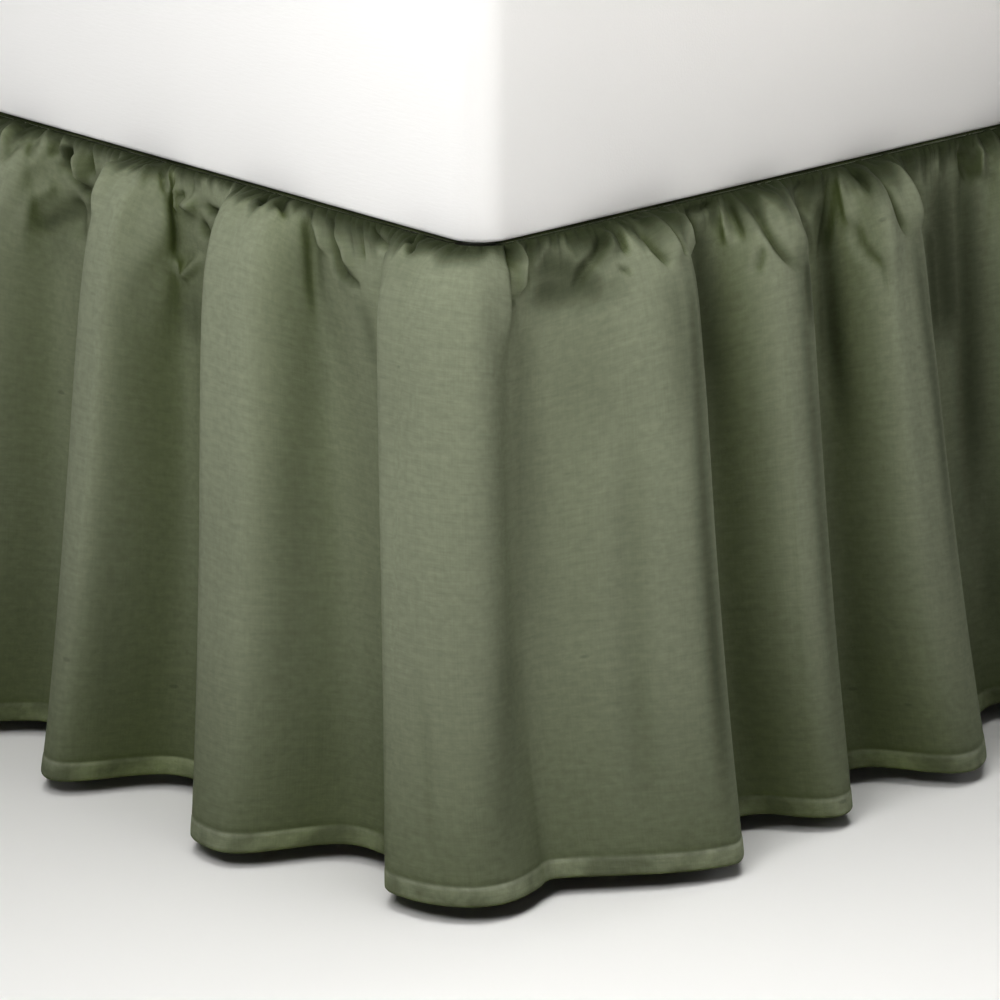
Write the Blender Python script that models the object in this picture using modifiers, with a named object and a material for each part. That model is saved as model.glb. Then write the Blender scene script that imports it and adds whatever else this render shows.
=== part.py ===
"""Single bed with a gathered bed skirt.

A flat deck cloth lies between the mattress and the foundation. A ruffle is sewn to the deck's
rim along the foot and both long sides, leaves the rim outwards, turns down over a soft shoulder
and hangs in uneven folds to just above the floor. The head end, which stands at a wall, has no
ruffle. Metres, +Z up, the foot of the bed at -Y, the floor at Z = 0.
"""

import math
import random
from collections import namedtuple

import bmesh
import bpy
from mathutils import Vector

# Bed
BED_WIDTH = 0.990
BED_LENGTH = 1.905
CORNER_RADIUS = 0.022
LEG_HEIGHT = 0.190
LEG_SIDE = 0.060
LEG_INSET = 0.090
LEG_ROUNDING = 0.004
BASE_HEIGHT = 0.200
BASE_INSET = 0.004
BASE_ROUNDING = 0.008
MATTRESS_HEIGHT = 0.250
MATTRESS_BOTTOM_ROUNDING = 0.012
MATTRESS_TOP_ROUNDING = 0.030
TOUCHING_GAP = 0.0003

# Skirt
DECK_THICKNESS = 0.0015
CLOTH_THICKNESS = 0.0016
SEAM_GAP = 0.0014
STRIP_GAP = 0.0014
HEM_CLEARANCE = 0.010
HEM_UNEVENNESS = 0.002
STRIP_LENGTH = 0.390

# Foot strip and the two side strips meet in a valley about this far up each long side
STRIP_JOIN_FROM_CORNER = 0.520

# Columns of faces in half a fold, as shares of the way from one knot to the next
FLANK_SHARES = (0.0, 0.24, 0.41, 0.57, 0.76)
# The cloth leaves the rim level, so near the seam it runs outwards at no more than this slope
STEEPEST = 0.995
# Distance from the seam, measured down the cloth, of each row of vertices, and the height of the
# puckers there: the gathering stitch pulls the cloth into puckers that die out down the shoulder
Row = namedtuple("Row", "along pucker")
ROWS = (
    Row(0.000, 0.0000),
    Row(0.008, 0.0020),
    Row(0.020, 0.0048),
    Row(0.036, 0.0050),
    Row(0.062, 0.0028),
    Row(0.115, 0.0008),
    Row(0.190, 0.0000),
    Row(0.285, 0.0000),
    Row(STRIP_LENGTH, 0.0000),
)
LEAST_PUCKER = 0.45

# A knot is a crest or a valley of the cloth, a line from the seam down to the hem. Its places at
# the seam, halfway down and at the hem are metres along the deck's rim. It reaches out from the
# rim by about its shoulder where the cloth has turned down, and by its out at the hem. In between
# it flares as a power of the way down, evenly for a crest and late for a valley.
# The flank from it to the next knot is an S: its swing is how steep the S is, and its lead the
# share of the way at which the cloth is halfway over.
Knot = namedtuple("Knot", "seam mid hem shoulder flare out lift swing lead", defaults=(0.0, 3.0, 0.5))
CREST_FLARE = 1
VALLEY_FLARE = 3
# Flanks ease from a share of the way down, to this share of their swing at the hem
EASES_FROM = 0.4
HEM_EASE = 0.7

# Folds about the foot's right corner, valley and crest by turns, with places from the middle of
# that corner, positive towards the head
RIGHT_CORNER_FOLDS = (
    Knot(seam=-0.466, mid=-0.480, hem=-0.492, shoulder=0.004, flare=3, out=0.026, lift=0.001),
    Knot(seam=-0.405, mid=-0.418, hem=-0.430, shoulder=0.042, flare=1, out=0.085, lead=0.42),
    Knot(seam=-0.348, mid=-0.350, hem=-0.350, shoulder=0.004, flare=3, out=0.026, lift=0.001),
    Knot(seam=-0.275, mid=-0.277, hem=-0.294, shoulder=0.044, flare=1, out=0.088, swing=3.4, lead=0.36),
    Knot(seam=-0.240, mid=-0.226, hem=-0.217, shoulder=0.004, flare=3, out=0.022, lift=0.001),
    Knot(seam=-0.170, mid=-0.152, hem=-0.147, shoulder=0.042, flare=1, out=0.084, swing=4, lead=0.44),
    Knot(seam=-0.103, mid=-0.068, hem=-0.056, shoulder=0.004, flare=3, out=0.015, lift=0.002),
    Knot(seam=-0.019, mid=-0.019, hem=-0.015, shoulder=0.034, flare=1, out=0.048, lift=0.001, swing=3.4, lead=0.58),
    Knot(seam=0.024, mid=0.024, hem=0.028, shoulder=0.004, flare=3, out=0.028, lift=0.002, swing=1.9, lead=0.42),
    Knot(seam=0.124, mid=0.120, hem=0.127, shoulder=0.038, flare=1, out=0.083, swing=2.3),
    Knot(seam=0.163, mid=0.162, hem=0.177, shoulder=0.004, flare=3, out=0.034, lift=0.001, swing=2.6),
    Knot(seam=0.209, mid=0.214, hem=0.228, shoulder=0.034, flare=1, out=0.073),
    Knot(seam=0.262, mid=0.265, hem=0.279, shoulder=0.004, flare=3, out=0.026, lift=0.001),
    Knot(seam=0.297, mid=0.313, hem=0.342, shoulder=0.035, flare=1, out=0.078, swing=2.3),
    Knot(seam=0.369, mid=0.392, hem=0.428, shoulder=0.004, flare=3, out=0.013, lift=0.002),
    Knot(seam=0.444, mid=0.465, hem=0.494, shoulder=0.034, flare=1, out=0.068),
    Knot(seam=0.504, mid=0.525, hem=0.552, shoulder=0.004, flare=3, out=0.025, lift=0.001),
)
# The fold round the foot's left corner, with places from the middle of that corner, positive
# towards the right
LEFT_CORNER_FOLDS = (
    Knot(seam=-0.046, mid=-0.051, hem=-0.062, shoulder=0.004, flare=3, out=0.026, lift=0.001),
    Knot(seam=-0.003, mid=-0.002, hem=0.002, shoulder=0.034, flare=1, out=0.052),
    Knot(seam=0.041, mid=0.047, hem=0.058, shoulder=0.004, flare=3, out=0.030, lift=0.002),
)

# The other folds vary at random between these, about an even spacing
FOLD_PITCH = 0.131
PITCH_SPREAD = 0.014
CREST_SHARE = (0.40, 0.60)
HEM_DRIFT = 0.012
LEAN_FADE = 4
CREST_SHOULDER = (0.032, 0.044)
CREST_OUT = (0.062, 0.086)
VALLEY_SHOULDER = (0.003, 0.005)
VALLEY_OUT = (0.014, 0.036)
END_VALLEY = Knot(seam=0.0, mid=0.0, hem=0.0, shoulder=0.004, flare=3, out=0.024, lift=0.001)
FOLD_SEED = 11
PUCKER_SEED = 5

ROUNDING_SEGMENTS = 5
SMOOTH_BELOW_DEGREES = 40

# Worked out from the above
FOOT_STRAIGHT = BED_WIDTH / 2 - CORNER_RADIUS
CORNER_ARC = math.pi / 2 * CORNER_RADIUS
RIM_HALF = FOOT_STRAIGHT + CORNER_ARC + BED_LENGTH - CORNER_RADIUS
RIGHT_CORNER = FOOT_STRAIGHT + CORNER_ARC / 2
BASE_BOTTOM = LEG_HEIGHT + TOUCHING_GAP
DECK_BOTTOM = BASE_BOTTOM + BASE_HEIGHT + TOUCHING_GAP
SEAM_HEIGHT = DECK_BOTTOM + DECK_THICKNESS / 2
MATTRESS_BOTTOM = DECK_BOTTOM + DECK_THICKNESS + TOUCHING_GAP
# The ruffle reaches out past the foot and not past the head, so the bed stands this far back for
# the whole to be centred on the origin
BED_BACK = max(knot.out for knot in RIGHT_CORNER_FOLDS) / 2

OLIVE = (0.180, 0.205, 0.125, 1.0)
WHITE = (0.840, 0.835, 0.820, 1.0)
TICKING = (0.620, 0.600, 0.560, 1.0)
BEECH = (0.420, 0.270, 0.150, 1.0)


def rim_point(along, out):
    """Plan point this far along the deck's rim from the middle of the foot, moved outwards."""
    side = math.copysign(1.0, along)
    run = abs(along)
    if run < FOOT_STRAIGHT:
        x, y, turn = run, -BED_LENGTH / 2, 0.0
    elif run < FOOT_STRAIGHT + CORNER_ARC:
        turn = (run - FOOT_STRAIGHT) / CORNER_RADIUS
        x = FOOT_STRAIGHT + CORNER_RADIUS * math.sin(turn)
        y = -BED_LENGTH / 2 + CORNER_RADIUS * (1 - math.cos(turn))
    else:
        turn = math.pi / 2
        x = BED_WIDTH / 2
        y = -BED_LENGTH / 2 + CORNER_RADIUS + run - FOOT_STRAIGHT - CORNER_ARC
    return side * (x + out * math.sin(turn)), y - out * math.cos(turn) + BED_BACK


def mix(a, b, share):
    return a + (b - a) * share


def moved(knot, along):
    return knot._replace(seam=knot.seam + along, mid=knot.mid + along, hem=knot.hem + along)


def folds_between(before, after, chance):
    """Crests and valleys by turns between two valleys, spaced unevenly about an even pitch.

    Where the two given valleys lean off at the hem, the folds next to them lean along.
    """
    start, end = before.seam, after.seam
    count = round((end - start) / FOLD_PITCH)
    valleys = [mix(start, end, i / count) for i in range(count + 1)]
    for i in range(1, count):
        valleys[i] += chance.uniform(-PITCH_SPREAD, PITCH_SPREAD)
    knots = []
    for left, right in zip(valleys, valleys[1:]):
        crest = mix(left, right, chance.uniform(*CREST_SHARE))
        for place, shoulder, flare, out, drift in (
            (crest, CREST_SHOULDER, CREST_FLARE, CREST_OUT, HEM_DRIFT),
            (right, VALLEY_SHOULDER, VALLEY_FLARE, VALLEY_OUT, HEM_DRIFT / 2),
        ):
            run = (place - start) / (end - start)
            lean = (before.hem - start) * (1 - run) ** LEAN_FADE + (after.hem - end) * run**LEAN_FADE
            hem = place + lean + chance.uniform(-drift, drift)
            knots.append(
                Knot(
                    seam=place,
                    mid=(place + hem) / 2 + chance.uniform(-drift, drift) / 4,
                    hem=hem,
                    shoulder=chance.uniform(*shoulder),
                    flare=flare,
                    out=chance.uniform(*out),
                    lift=chance.uniform(0, HEM_UNEVENNESS),
                )
            )
    return knots[:-1]


def fold_knots():
    """Every valley and crest from the head end of the left side round to that of the right."""
    chance = random.Random(FOLD_SEED)
    left_end = moved(END_VALLEY, -RIM_HALF)
    left_corner = [moved(knot, -RIGHT_CORNER) for knot in LEFT_CORNER_FOLDS]
    right_corner = [moved(knot, RIGHT_CORNER) for knot in RIGHT_CORNER_FOLDS]
    right_end = moved(END_VALLEY, RIM_HALF)
    return [
        left_end,
        *folds_between(left_end, left_corner[0], chance),
        *left_corner,
        *folds_between(left_corner[-1], right_corner[0], chance),
        *right_corner,
        *folds_between(right_corner[-1], right_end, chance),
        right_end,
    ]


def hang(knot):
    """(how far out, how far down) the cloth is at each row, along a crest or a valley.

    It leaves the seam level, has turned down after about its shoulder, and flares to the hem.
    """
    step = 0.001
    along = reach = drop = 0.0
    profile = []
    for row in ROWS:
        while along < row.along - step / 2:
            middle = along + step / 2
            turning = 1 / math.cosh(middle / knot.shoulder) ** 2
            flaring = knot.flare * (middle / STRIP_LENGTH) ** (knot.flare - 1) / STRIP_LENGTH
            slope = min(turning + (knot.out - knot.shoulder) * flaring, STEEPEST)
            reach += slope * step
            drop += math.sqrt(1 - slope**2) * step
            along += step
        profile.append((reach, drop))
    hem_drop = SEAM_HEIGHT - HEM_CLEARANCE - knot.lift
    return [(reach, drop * hem_drop / profile[-1][1]) for reach, drop in profile]


def place_of(knot, along):
    """Where the knot's line is along the rim, on the parabola through its three places."""
    down = along / STRIP_LENGTH
    from_seam = knot.seam * (1 - down) * (1 - 2 * down)
    return from_seam + knot.mid * 4 * down * (1 - down) + knot.hem * down * (2 * down - 1)


def flank(knot, share, along):
    """How far the cloth has swung over from a knot to the next one, at a share of the way."""
    easing = max((along / STRIP_LENGTH - EASES_FROM) / (1 - EASES_FROM), 0.0)
    steepness = max(knot.swing * mix(1.0, HEM_EASE, easing), 1.0)
    led = share ** (math.log(0.5) / math.log(knot.lead))
    swung = led**steepness
    return swung / (swung + (1 - led) ** steepness)


def cloth_column(before, after, share, pucker):
    """Points of the cloth from the seam to the hem, this share of the way between two knots."""
    hung = []
    for row, a, b in zip(ROWS, hang(before), hang(after)):
        swung = flank(before, share, row.along)
        hung.append((mix(a[0], b[0], swung), mix(a[1], b[1], swung)))
    points = []
    for i, row in enumerate(ROWS):
        place = mix(place_of(before, row.along), place_of(after, row.along), share)
        above, below = hung[max(i - 1, 0)], hung[min(i + 1, len(ROWS) - 1)]
        run = Vector((below[0] - above[0], below[1] - above[1])).normalized()
        # In a valley the puckers stay outside the rim, clear of the foundation
        reach = SEAM_GAP + max(hung[i][0] + row.pucker * pucker * run.y, 0.0)
        height = SEAM_HEIGHT - hung[i][1] + row.pucker * pucker * run.x
        points.append((*rim_point(place, reach), height))
    return points


def new_collection(name):
    collection = bpy.data.collections.new(name)
    bpy.context.scene.collection.children.link(collection)
    return collection


def material(name, colour, roughness):
    made = bpy.data.materials.new(name)
    made.use_nodes = True
    shader = made.node_tree.nodes["Principled BSDF"]
    shader.inputs["Base Color"].default_value = colour
    shader.inputs["Roughness"].default_value = roughness
    shader.inputs["Metallic"].default_value = 0.0
    return made


def add_object(name, shape, finish, collection):
    mesh = bpy.data.meshes.new(name)
    shape.to_mesh(mesh)
    shape.free()
    mesh.materials.append(finish)
    mesh.shade_smooth()
    mesh.set_sharp_from_angle(angle=math.radians(SMOOTH_BELOW_DEGREES))
    made = bpy.data.objects.new(name, mesh)
    collection.objects.link(made)
    return made


def block(size, bottom, upright_rounding, bottom_rounding, top_rounding, segments):
    """A box on this height with rounded upright, lower and upper edges."""
    shape = bmesh.new()
    bmesh.ops.create_cube(shape, size=1.0)
    bmesh.ops.scale(shape, vec=size, verts=shape.verts)
    bmesh.ops.translate(shape, vec=(0, 0, bottom + size[2] / 2), verts=shape.verts)
    middle = bottom + size[2] / 2
    choices = (
        (upright_rounding, lambda a, b: abs(a.z - b.z) > size[2] / 2),
        (bottom_rounding, lambda a, b: max(a.z, b.z) < middle),
        (top_rounding, lambda a, b: min(a.z, b.z) > middle),
    )
    for rounding, wanted in choices:
        edges = [
            edge
            for edge in shape.edges
            if wanted(edge.verts[0].co, edge.verts[1].co)
            and edge.calc_face_angle() > math.radians(SMOOTH_BELOW_DEGREES)
        ]
        if rounding > 0:
            bmesh.ops.bevel(
                shape, geom=edges, offset=rounding, segments=segments, profile=0.5, affect="EDGES"
            )
    return shape


def add_mattress(collection):
    shape = block(
        (BED_WIDTH, BED_LENGTH, MATTRESS_HEIGHT),
        MATTRESS_BOTTOM,
        CORNER_RADIUS,
        MATTRESS_BOTTOM_ROUNDING,
        MATTRESS_TOP_ROUNDING,
        ROUNDING_SEGMENTS,
    )
    finish = material("white_cotton_cover", WHITE, 0.85)
    add_object("mattress", shape, finish, collection).location.y = BED_BACK


def add_base(collection):
    shape = block(
        (BED_WIDTH - 2 * BASE_INSET, BED_LENGTH - 2 * BASE_INSET, BASE_HEIGHT),
        BASE_BOTTOM,
        CORNER_RADIUS,
        BASE_ROUNDING,
        BASE_ROUNDING,
        ROUNDING_SEGMENTS,
    )
    finish = material("grey_ticking", TICKING, 0.85)
    add_object("bed_base", shape, finish, collection).location.y = BED_BACK


def add_legs(collection):
    finish = material("oiled_beech", BEECH, 0.50)
    across = BED_WIDTH / 2 - LEG_INSET
    lengthways = BED_LENGTH / 2 - LEG_INSET
    for side, x in (("left", -across), ("right", across)):
        for end, y in (("foot", -lengthways), ("middle", 0.0), ("head", lengthways)):
            shape = block((LEG_SIDE, LEG_SIDE, LEG_HEIGHT), 0.0, LEG_ROUNDING, 0.0, 0.0, 2)
            leg = add_object(f"leg_{end}_{side}", shape, finish, collection)
            leg.location = (x, y + BED_BACK, 0.0)


def add_deck(collection, finish):
    shape = block((BED_WIDTH, BED_LENGTH, DECK_THICKNESS), DECK_BOTTOM, CORNER_RADIUS, 0.0, 0.0, 12)
    add_object("skirt_deck", shape, finish, collection).location.y = BED_BACK


def add_ruffle(name, knots, first_column, collection, finish):
    """A strip of the ruffle from its first knot to its last: a loft through its columns."""
    chance = random.Random(PUCKER_SEED + first_column)
    shares = [
        (before, after, share)
        for before, after in zip(knots, knots[1:])
        for share in FLANK_SHARES
    ]
    shares.append((knots[-2], knots[-1], 1.0))
    shape = bmesh.new()
    columns = []
    for i, (before, after, share) in enumerate(shares):
        up_or_down = 1 if (first_column + i) % 2 else -1
        pucker = up_or_down * chance.uniform(LEAST_PUCKER, 1.0)
        columns.append([shape.verts.new(p) for p in cloth_column(before, after, share, pucker)])
    for left, right in zip(columns, columns[1:]):
        for i in range(len(ROWS) - 1):
            shape.faces.new((left[i], left[i + 1], right[i + 1], right[i]))
    ruffle = add_object(name, shape, finish, collection)
    solidify = ruffle.modifiers.new("cloth_thickness", "SOLIDIFY")
    solidify.thickness = CLOTH_THICKNESS
    solidify.offset = 0.0
    solidify.use_even_offset = True


def add_skirt(collection):
    finish = material("olive_poly_cotton", OLIVE, 0.90)
    add_deck(collection, finish)
    knots = fold_knots()
    join = RIGHT_CORNER + STRIP_JOIN_FROM_CORNER
    valleys = range(0, len(knots), 2)
    left_join = min(valleys, key=lambda i: abs(knots[i].seam + join))
    right_join = min(valleys, key=lambda i: abs(knots[i].seam - join))
    strips = (
        ("ruffle_left", 0, left_join),
        ("ruffle_foot", left_join, right_join),
        ("ruffle_right", right_join, len(knots) - 1),
    )
    for name, first, last in strips:
        strip = knots[first : last + 1]
        strip[0] = moved(strip[0], STRIP_GAP / 2)
        strip[-1] = moved(strip[-1], -STRIP_GAP / 2)
        add_ruffle(name, strip, first * len(FLANK_SHARES), collection, finish)


def main():
    for old in list(bpy.data.objects):
        bpy.data.objects.remove(old)
    bed = new_collection("bed_with_skirt")
    add_mattress(bed)
    add_base(bed)
    add_legs(bed)
    add_skirt(bed)


main()
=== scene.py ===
"""Looks of a gathered bed skirt on a single bed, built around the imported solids.

The ruffle's strips hang on the folds of their solids, with the puckers of the gathering stitch,
the creases below it and the turned hem added as real relief. Metres, +Z up, the foot at -Y. Only
the table of creases is in millimetres.
"""

import math
import random
from collections import namedtuple

import bmesh
import bpy
import numpy as np
from bpy.props import FloatProperty, FloatVectorProperty, PointerProperty
from mathutils import Matrix, Vector


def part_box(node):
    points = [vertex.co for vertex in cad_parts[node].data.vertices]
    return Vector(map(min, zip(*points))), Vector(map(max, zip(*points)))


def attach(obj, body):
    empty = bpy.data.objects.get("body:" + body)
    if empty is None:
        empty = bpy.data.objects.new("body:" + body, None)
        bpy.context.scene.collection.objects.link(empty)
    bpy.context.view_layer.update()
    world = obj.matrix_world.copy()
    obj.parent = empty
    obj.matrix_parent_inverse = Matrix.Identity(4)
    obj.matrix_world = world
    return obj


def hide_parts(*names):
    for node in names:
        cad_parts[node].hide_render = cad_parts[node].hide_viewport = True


bl_info = {
    "name": "Gathered bed skirt",
    "version": (1, 0, 0),
    "blender": (4, 5, 0),
    "location": "3D View > Sidebar > Bed skirt",
    "description": "Dresses a single bed's solids with a gathered skirt, mattress cover and base",
    "category": "Object",
}

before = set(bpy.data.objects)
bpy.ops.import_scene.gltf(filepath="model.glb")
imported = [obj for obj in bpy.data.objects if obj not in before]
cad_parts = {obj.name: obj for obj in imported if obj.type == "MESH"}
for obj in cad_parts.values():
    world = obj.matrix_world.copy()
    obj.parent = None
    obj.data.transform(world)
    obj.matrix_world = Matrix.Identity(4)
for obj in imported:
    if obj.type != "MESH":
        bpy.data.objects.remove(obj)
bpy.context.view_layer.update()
BODY = "root"

DECK_LOW, DECK_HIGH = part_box("skirt_deck")
RIM_X = DECK_HIGH.x
RIM_FOOT = DECK_LOW.y
RIM_HEAD = DECK_HIGH.y
SEAM_HEIGHT = (DECK_LOW.z + DECK_HIGH.z) / 2
CORNER_RADIUS = 0.022
FOOT_STRAIGHT = RIM_X - CORNER_RADIUS
CORNER_ARC = math.pi / 2 * CORNER_RADIUS
RIM_HALF = FOOT_STRAIGHT + CORNER_ARC + (RIM_HEAD - RIM_FOOT) - CORNER_RADIUS
RIGHT_CORNER = FOOT_STRAIGHT + CORNER_ARC / 2

# The ruffle's strip from seam to hem, and how it hangs
STRIP_LENGTH = 0.390
HEM_CLEARANCE = 0.010
SEAM_GAP = 0.0010
STRIP_GAP = 0.0014
STRIP_JOIN_FROM_CORNER = 0.520
STEEPEST = 0.995

# A knot is a crest or a valley of the cloth, a line from the seam down to the hem. Its places at
# the seam, halfway down and at the hem are metres along the deck's rim. It reaches out from the
# rim by about its shoulder where the cloth has turned down, and by its out at the hem, which hangs
# higher there by its lift. In between it flares as a power of the way down, evenly for a crest and
# late for a valley.
# The flank from it to the next knot is an S: its swing is how steep the S is, and its lead the
# share of the way at which the cloth is halfway over.
Knot = namedtuple("Knot", "seam mid hem shoulder flare out lift swing lead", defaults=(0.0, 3.0, 0.5))
CREST = 1
VALLEY = 3
# Flanks ease from a share of the way down, to this share of their swing at the hem
EASES_FROM = 0.4
HEM_EASE = 0.7

# Folds about the foot's right corner, valley and crest by turns, with places from the middle of
# that corner, positive towards the head
RIGHT_CORNER_FOLDS = (
    #    seam    mid     hem     shoulder flare  out    lift
    Knot(-0.466, -0.480, -0.492, 0.004, VALLEY, 0.026, 0.001),
    Knot(-0.405, -0.418, -0.430, 0.042, CREST, 0.085, lead=0.42),
    Knot(-0.348, -0.350, -0.350, 0.004, VALLEY, 0.026, 0.001),
    Knot(-0.275, -0.277, -0.294, 0.044, CREST, 0.088, swing=3.4, lead=0.36),
    Knot(-0.240, -0.226, -0.217, 0.004, VALLEY, 0.022, 0.001),
    Knot(-0.170, -0.152, -0.147, 0.042, CREST, 0.084, swing=4, lead=0.44),
    Knot(-0.103, -0.068, -0.056, 0.004, VALLEY, 0.015, 0.002),
    Knot(-0.019, -0.019, -0.015, 0.034, CREST, 0.048, 0.001, swing=3.4, lead=0.58),
    Knot(0.024, 0.024, 0.028, 0.004, VALLEY, 0.028, 0.002, swing=1.9, lead=0.42),
    Knot(0.124, 0.120, 0.127, 0.038, CREST, 0.083, swing=2.3),
    Knot(0.163, 0.162, 0.177, 0.004, VALLEY, 0.034, 0.001, swing=2.6),
    Knot(0.209, 0.214, 0.228, 0.034, CREST, 0.073),
    Knot(0.262, 0.265, 0.279, 0.004, VALLEY, 0.026, 0.001),
    Knot(0.297, 0.313, 0.342, 0.035, CREST, 0.078, swing=2.3),
    Knot(0.369, 0.392, 0.428, 0.004, VALLEY, 0.013, 0.002),
    Knot(0.444, 0.465, 0.494, 0.034, CREST, 0.068),
    Knot(0.504, 0.525, 0.552, 0.004, VALLEY, 0.025, 0.001),
)
# The fold round the foot's left corner, with places from the middle of that corner, positive
# towards the right
LEFT_CORNER_FOLDS = (
    Knot(-0.046, -0.051, -0.062, 0.004, VALLEY, 0.026, 0.001),
    Knot(-0.003, -0.002, 0.002, 0.034, CREST, 0.052),
    Knot(0.041, 0.047, 0.058, 0.004, VALLEY, 0.030, 0.002),
)

# The other folds vary at random between these, about an even spacing
FOLD_PITCH = 0.131
PITCH_SPREAD = 0.014
CREST_SHARE = (0.40, 0.60)
HEM_DRIFT = 0.012
LEAN_FADE = 4
CREST_SHOULDER = (0.032, 0.044)
CREST_OUT = (0.062, 0.086)
VALLEY_SHOULDER = (0.003, 0.005)
VALLEY_OUT = (0.014, 0.036)
HEM_UNEVENNESS = 0.002
END_VALLEY = Knot(0.0, 0.0, 0.0, 0.004, VALLEY, 0.024, 0.001)
FOLD_SEED = 11


# ---------------------------------------------------------------- folds


def mix(a, b, share):
    return a + (b - a) * share


def moved(knot, along):
    return knot._replace(seam=knot.seam + along, mid=knot.mid + along, hem=knot.hem + along)


def folds_between(before, after, chance):
    """Crests and valleys by turns between two valleys, spaced unevenly about an even pitch.

    Where the two given valleys lean off at the hem, the folds next to them lean along.
    """
    start, end = before.seam, after.seam
    count = round((end - start) / FOLD_PITCH)
    valleys = [mix(start, end, i / count) for i in range(count + 1)]
    for i in range(1, count):
        valleys[i] += chance.uniform(-PITCH_SPREAD, PITCH_SPREAD)
    knots = []
    for left, right in zip(valleys, valleys[1:]):
        crest = mix(left, right, chance.uniform(*CREST_SHARE))
        for place, shoulder, flare, out, drift in (
            (crest, CREST_SHOULDER, CREST, CREST_OUT, HEM_DRIFT),
            (right, VALLEY_SHOULDER, VALLEY, VALLEY_OUT, HEM_DRIFT / 2),
        ):
            run = (place - start) / (end - start)
            lean = (before.hem - start) * (1 - run) ** LEAN_FADE + (after.hem - end) * run**LEAN_FADE
            hem = place + lean + chance.uniform(-drift, drift)
            knots.append(
                Knot(
                    seam=place,
                    mid=(place + hem) / 2 + chance.uniform(-drift, drift) / 4,
                    hem=hem,
                    shoulder=chance.uniform(*shoulder),
                    flare=flare,
                    out=chance.uniform(*out),
                    lift=chance.uniform(0, HEM_UNEVENNESS),
                )
            )
    return knots[:-1]


def fold_knots():
    """Every valley and crest from the head end of the left side round to that of the right."""
    chance = random.Random(FOLD_SEED)
    left_end = moved(END_VALLEY, -RIM_HALF)
    left_corner = [moved(knot, -RIGHT_CORNER) for knot in LEFT_CORNER_FOLDS]
    right_corner = [moved(knot, RIGHT_CORNER) for knot in RIGHT_CORNER_FOLDS]
    right_end = moved(END_VALLEY, RIM_HALF)
    return [
        left_end,
        *folds_between(left_end, left_corner[0], chance),
        *left_corner,
        *folds_between(left_corner[-1], right_corner[0], chance),
        *right_corner,
        *folds_between(right_corner[-1], right_end, chance),
        right_end,
    ]


def strips_of(knots):
    """{strip: its knots}, the three lengths of ruffle that are joined in valleys."""
    join = RIGHT_CORNER + STRIP_JOIN_FROM_CORNER
    valleys = range(0, len(knots), 2)
    left_join = min(valleys, key=lambda i: abs(knots[i].seam + join))
    right_join = min(valleys, key=lambda i: abs(knots[i].seam - join))
    strips = {
        "ruffle_left": knots[: left_join + 1],
        "ruffle_foot": knots[left_join : right_join + 1],
        "ruffle_right": knots[right_join:],
    }
    for strip in strips.values():
        strip[0] = moved(strip[0], STRIP_GAP / 2)
        strip[-1] = moved(strip[-1], -STRIP_GAP / 2)
    return strips


# ---------------------------------------------------------------- the hanging cloth


def rim_points(along, out):
    """Plan points along the deck's rim from the middle of the foot, moved outwards."""
    side = np.where(along < 0, -1.0, 1.0)
    run = np.abs(along)
    turn = np.clip((run - FOOT_STRAIGHT) / CORNER_RADIUS, 0, math.pi / 2)
    past = np.maximum(run - FOOT_STRAIGHT - CORNER_ARC, 0)
    x = np.minimum(run, FOOT_STRAIGHT) + CORNER_RADIUS * np.sin(turn) + out * np.sin(turn)
    y = RIM_FOOT + CORNER_RADIUS * (1 - np.cos(turn)) + past - out * np.cos(turn)
    return side * x, y


HANG_STEP = 0.0005


def hang(knot, rows):
    """How far out and how far down the cloth is at each row, along a crest or a valley."""
    step = HANG_STEP
    middle = np.arange(step / 2, STRIP_LENGTH, step)
    turning = 1 / np.cosh(middle / knot.shoulder) ** 2
    flaring = knot.flare * (middle / STRIP_LENGTH) ** (knot.flare - 1) / STRIP_LENGTH
    slope = np.minimum(turning + (knot.out - knot.shoulder) * flaring, STEEPEST)
    reach = np.concatenate([[0], np.cumsum(slope * step)])
    drop = np.concatenate([[0], np.cumsum(np.sqrt(1 - slope**2) * step)])
    drop *= (SEAM_HEIGHT - HEM_CLEARANCE - knot.lift) / drop[-1]
    along = np.concatenate([[0], middle + step / 2])
    return np.interp(rows, along, reach), np.interp(rows, along, drop)


def place_of(knot, rows):
    """Where the knot's line is along the rim, on the parabola through its three places."""
    down = rows / STRIP_LENGTH
    from_seam = knot.seam * (1 - down) * (1 - 2 * down)
    return from_seam + knot.mid * 4 * down * (1 - down) + knot.hem * down * (2 * down - 1)


def flank(share, swing, lead, rows):
    """How far the cloth has swung over from one knot to the next, at a share of the way."""
    easing = np.clip((rows / STRIP_LENGTH - EASES_FROM) / (1 - EASES_FROM), 0, 1)
    steepness = np.maximum(swing * mix(1.0, HEM_EASE, easing), 1.0)
    led = share ** (math.log(0.5) / np.log(lead))
    swung = led**steepness
    return swung / (swung + (1 - led) ** steepness)


def smooth_cloth(knots, columns, rows):
    """Points [column, row] of the folds alone, with no puckers, for columns given at the seam."""
    seams = np.array([knot.seam for knot in knots])
    places = np.array([place_of(knot, rows) for knot in knots])
    hung = np.array([hang(knot, rows) for knot in knots])
    i = np.clip(np.searchsorted(seams, columns, side="right") - 1, 0, len(knots) - 2)
    share = ((columns - seams[i]) / (seams[i + 1] - seams[i]))[:, None]
    swing, lead = (np.array([getattr(knot, name) for knot in knots])[i, None] for name in ("swing", "lead"))
    swell = flank(share, swing, lead, rows)
    place = mix(places[i], places[i + 1], share)
    reach = mix(hung[i, 0], hung[i + 1, 0], swell)
    drop = mix(hung[i, 1], hung[i + 1, 1], swell)
    x, y = rim_points(place, SEAM_GAP + reach)
    return np.stack([x, y, SEAM_HEIGHT - drop], axis=2)


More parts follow.
